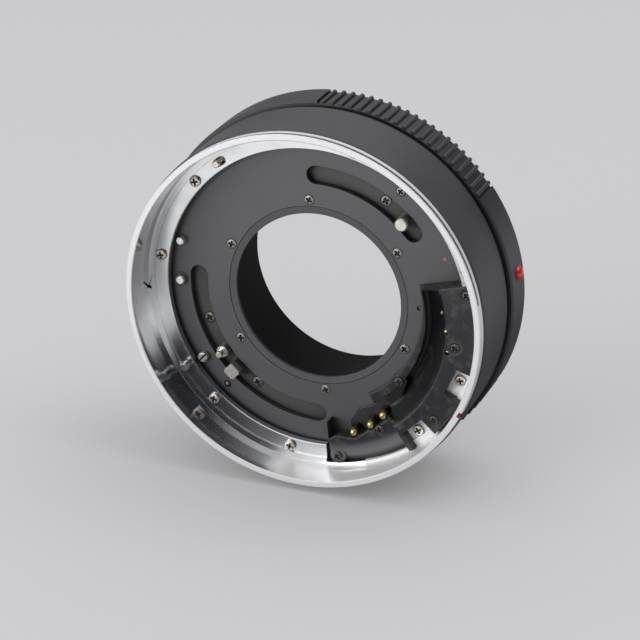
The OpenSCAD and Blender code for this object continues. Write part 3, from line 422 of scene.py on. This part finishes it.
def goldPlate(name):
    # the contact pins, whose shanks are painted dark as shade down in their sleeves
    f = Finish(name, gold["colour"], 1.0, gold["roughness"])
    soft = f.rounded(gold["edge"])
    patch = f.noise(gold["patch"], 4.0, 0.6)
    fine = f.noise(gold["fine"], 2.0, 0.5)
    body = (patch.within(0.4, 0.75) * 0.7).blend(gold["colour"], gold["deep"])
    # painted shade on the shanks, down in the sleeves
    f.set("Base Color", f.y.within(gold["shankFrom"], gold["shankFull"]).blend(body, gold["shank"]))
    f.set("Roughness", gold["roughness"] + patch * 0.16)
    f.set("Normal", f.bump(fine, gold["fineDepth"], 0.4, soft))
    return f.material


enamel = {
    "colour": rgb(0.55, 0.012, 0.012), "roughness": 0.26, "coat": 0.4, "coatRoughness": 0.06,
    "cloud": 900.0, "cloudTint": 0.6, "grain": 2600.0, "grainDepth": 0.00001,
}


def redEnamel(name, colour=None, roughness=None):
    colour = colour or enamel["colour"]
    f = Finish(name, colour, 0.0, roughness or enamel["roughness"])
    f.set("Coat Weight", enamel["coat"])
    f.set("Coat Roughness", enamel["coatRoughness"])
    cloud = f.noise(enamel["cloud"], 3.0, 0.6)
    f.set("Base Color", cloud.within(0.35, 0.75).blend(colour, tinted(colour, enamel["cloudTint"])))
    f.set("Normal", f.bump(f.noise(enamel["grain"], 2.0, 0.5), enamel["grainDepth"], 0.3))
    return f.material


ribbon = {
    "film": rgb(0.42, 0.21, 0.06), "lane": rgb(0.20, 0.09, 0.03), "lanes": 420.0,
    "roughness": 0.3, "laneDepth": 0.00003,
}


def ribbonFilm(name):
    f = Finish(name, ribbon["film"], 0.0, ribbon["roughness"])
    lanes = f.start.make("ShaderNodeTexWave", {"wave_type": "BANDS", "bands_direction": "X"},
                         {"Vector": f.place, "Scale": ribbon["lanes"], "Distortion": 0.0})
    f.set("Base Color", lanes.within(0.4, 0.6).blend(ribbon["film"], ribbon["lane"]))
    f.set("Normal", f.bump(lanes, ribbon["laneDepth"], 0.5))
    return f.material


# colours of painted shade in the crevices of small metal parts
creviceShadeBlack = rgb(0.006, 0.005, 0.005)
creviceShadeBrown = rgb(0.050, 0.032, 0.022)
# small metal parts: recess is the colour of the painted shade in crevices, floor the depth past which a cross
# recess is painted in shade
fittings = {
    "blackened steel": {"colour": rgb(0.13, 0.12, 0.115), "roughness": 0.42,
                        "stain": rgb(0.09, 0.085, 0.08), "recess": creviceShadeBlack},
    "screw steel": {"colour": rgb(0.31, 0.30, 0.29), "roughness": 0.34,
                    "stain": rgb(0.15, 0.145, 0.14), "stained": 0.6, "recess": creviceShadeBlack, "floor": -0.01755},
    "nickel screw": {"colour": rgb(0.80, 0.75, 0.69), "roughness": 0.30,
                     "stain": rgb(0.50, 0.43, 0.36), "stained": 0.6, "recess": creviceShadeBrown, "floor": -0.0210},
    "bronzed screw": {"colour": rgb(0.24, 0.225, 0.21), "roughness": 0.36,
                      "stain": rgb(0.13, 0.12, 0.11), "stained": 0.6, "recess": creviceShadeBlack, "floor": -0.01555},
    "adjuster steel": {"colour": rgb(0.86, 0.86, 0.87), "roughness": 0.22, "stained": 0.3, "recess": creviceShadeBlack},
    "pin steel": {"colour": rgb(0.78, 0.74, 0.69), "roughness": 0.26},
    "turned brass": {"colour": rgb(0.66, 0.53, 0.28), "roughness": 0.3},
    "bright rod": {"colour": rgb(0.95, 0.95, 0.95), "roughness": 0.38},
    "post steel": {"colour": rgb(0.50, 0.51, 0.50), "roughness": 0.25},
    "ball steel": {"colour": rgb(0.15, 0.13, 0.12), "roughness": 0.28},
    "dull contact": {"colour": rgb(0.20, 0.19, 0.18), "roughness": 0.35},
}
metal = {name: turnedSteel(name, **look) for name, look in fittings.items()}

# finishes by the record's material slots
finishes = {
    "plated": platedRing("plated ring"),
    "barrel_black": blackAnodised("black anodised barrel", **barrel),
    "ring_black": blackAnodised("black anodised grip", **grip),
    "plate_black": mattePaint("matte black plate"),
    "baffle_black": lightBaffle("matte black baffle"),
    "dark_steel": metal["blackened steel"],
    "screw_steel": metal["screw steel"],
    "pin_steel": metal["pin steel"],
    "brass_raw": metal["turned brass"],
    "gilt": goldPlate("gold plate"),
    "cover_plastic": mouldedPlastic("moulded cover", scooped=True),
    "insulator_plastic": mouldedPlastic("moulded insulator", rgb(0.020, 0.020, 0.021)),
    "red_paint": redEnamel("red enamel"),
    "dull_red_paint": redEnamel("dull red paint", rgb(0.45, 0.13, 0.10), 0.5),
    "ribbon_film": ribbonFilm("ribbon film"),
}
slotOf = {part["node"]: part["material_slot"] for part in frame["record"]["subparts"]}
for name, node in nodes.items():
    node.data.materials[0] = finishes[slotOf[name]]

# pieces whose finish differs from that of their slot
blackenedRing = {"colour": rgb(0.056, 0.053, 0.052), "roughness": 0.46,
                 "edgeColour": rgb(0.10, 0.095, 0.09), "specular": 0.5}
special = {
    "lens_index_mark": redEnamel("dark red mark", rgb(0.22, 0.005, 0.010), 0.35),
    "mount_ring_screws": metal["nickel screw"],
    "release_rod_upper": metal["bright rod"],
    "release_rod_lower": metal["bright rod"],
    "slotted_adjuster": metal["adjuster steel"],
    "lens_sense_pin": metal["post steel"],
    "detent_ball": metal["ball steel"],
    "small_contact_a": metal["dull contact"],
    "cocking_ring": mattePaint("blackened ring", **blackenedRing),
    "cocking_ring_screws": metal["bronzed screw"],
}
for name, material in special.items():
    nodes[name].data.materials[0] = material
print("finishes given,", len(finishes) + len(special))


studio = {
    "floorTop": -0.0517, "size": 4.0, "roughness": 0.9, "specular": 0.1, "fibre": 700.0,
    "paper": (rgb(0.548, 0.538, 0.550), rgb(0.578, 0.568, 0.580)), "glow": rgb(0.155, 0.155, 0.15655),
    "glowShare": 0.25, "near": 0.085, "far": 0.25,
    "close": rgb(0.14, 0.14, 0.145), "front": rgb(1.0, 1.0, 1.0), "behind": rgb(0.60, 0.59, 0.60),
}


def studioFloor():
    mesh = bmesh.new()
    bmesh.ops.create_grid(mesh, x_segments=1, y_segments=1, size=studio["size"])
    bmesh.ops.translate(mesh, vec=(0.0, 0.0, studio["floorTop"]), verts=mesh.verts)
    data = bpy.data.meshes.new("studio_floor")
    mesh.to_mesh(data)
    mesh.free()
    floor = bpy.data.objects.new("studio_floor", data)
    bpy.context.scene.collection.objects.link(floor)
    f = Finish("studio paper", studio["paper"][0], 0.0, studio["roughness"])
    f.set("Specular IOR Level", studio["specular"])
    fibre = f.noise(studio["fibre"], 4.0, 0.6)
    # painted reflection: to metal and gloss the paper glows, dark close by as painted shade, white further
    # out in front and grey behind
    path = f.start.make("ShaderNodeLightPath")
    mirrored = path.part("Is Glossy Ray")
    seen = path.part("Is Camera Ray")
    away = ((f.x * f.x + f.y * f.y) ** 0.5).within(studio["near"], studio["far"])
    distant = (f.y < 0.0).blend(studio["behind"], studio["front"])
    reflected = away.blend(studio["close"], distant)
    # to the camera, part of the paper's colour gives way to a plain glow, which lifts the shadow
    paper = (fibre * 0.5).blend(*studio["paper"])
    f.set("Base Color", mirrored.larger(seen * studio["glowShare"]).blend(paper, black))
    f.set("Emission Color", mirrored.blend(seen.blend(black, studio["glow"]), reflected))
    f.set("Emission Strength", 1.0)
    data.materials.append(f.material)


lamps = {
    # name: place, width, height, power
    "key": ((1.15, 0.20, 1.85), 1.7, 1.7, 13.0),
    "window": ((-0.85, -1.30, 0.55), 1.2, 1.1, 7.5),
    "low": ((-1.00, -1.25, 0.13), 1.0, 0.30, 9.5),
}


def addLamp(name, place, width, height, power):
    light = bpy.data.lights.new(name, "AREA")
    light.shape = "RECTANGLE"
    light.size = width
    light.size_y = height
    light.energy = power
    lamp = bpy.data.objects.new(name, light)
    lamp.location = place
    lamp.rotation_euler = (-Vector(place)).to_track_quat("-Z", "Y").to_euler()
    bpy.context.scene.collection.objects.link(lamp)


# the tent's light, and what mirrors see of it, each from low to high along a leaning direction
tent = {
    "lean": (-0.20, 0.15, 0.96), "start": 0.34, "end": 0.74,
    "light": (rgb(0.58, 0.58, 0.595), rgb(0.92, 0.92, 0.93)),
    "mirror": (rgb(0.018, 0.018, 0.022), rgb(1.0, 1.0, 1.0)),
}


def addWorld():
    # a pale tent that is open to a dark room in front, where only mirrors look
    sky = bpy.data.worlds.new("studio")
    bpy.context.scene.world = sky
    sky.use_nodes = True
    tree = sky.node_tree
    way = Signal(tree).make("ShaderNodeTexCoord", output="Generated")
    sockets = {0: way, 1: tent["lean"]}
    height = way.make("ShaderNodeVectorMath", {"operation": "DOT_PRODUCT"}, sockets, 1)
    rise = height.within(tent["start"], tent["end"])
    mirrored = way.make("ShaderNodeLightPath", output="Is Glossy Ray")
    shown = mirrored.blend(rise.blend(*tent["light"]), rise.blend(*tent["mirror"]))
    tree.links.new(shown.socket, tree.nodes["Background"].inputs[0])


view = {
    "place": (0.2297, -0.6136, 0.2729), "forward": (-0.3286, 0.8550, -0.4013),
    "lens": 146.25, "sensor": 36.0, "clip": 0.01,
}


def addCamera():
    data = bpy.data.cameras.new("camera")
    data.lens = view["lens"]
    data.sensor_width = view["sensor"]
    data.clip_start = view["clip"]
    camera = bpy.data.objects.new("camera", data)
    camera.location = view["place"]
    camera.rotation_euler = Vector(view["forward"]).to_track_quat("-Z", "Y").to_euler()
    bpy.context.scene.collection.objects.link(camera)
    bpy.context.scene.camera = camera


studioFloor()
for name, (place, width, height, power) in lamps.items():
    addLamp(name, place, width, height, power)
addWorld()
addCamera()
bpy.context.scene.view_settings.view_transform = "Standard"
print("studio ready")
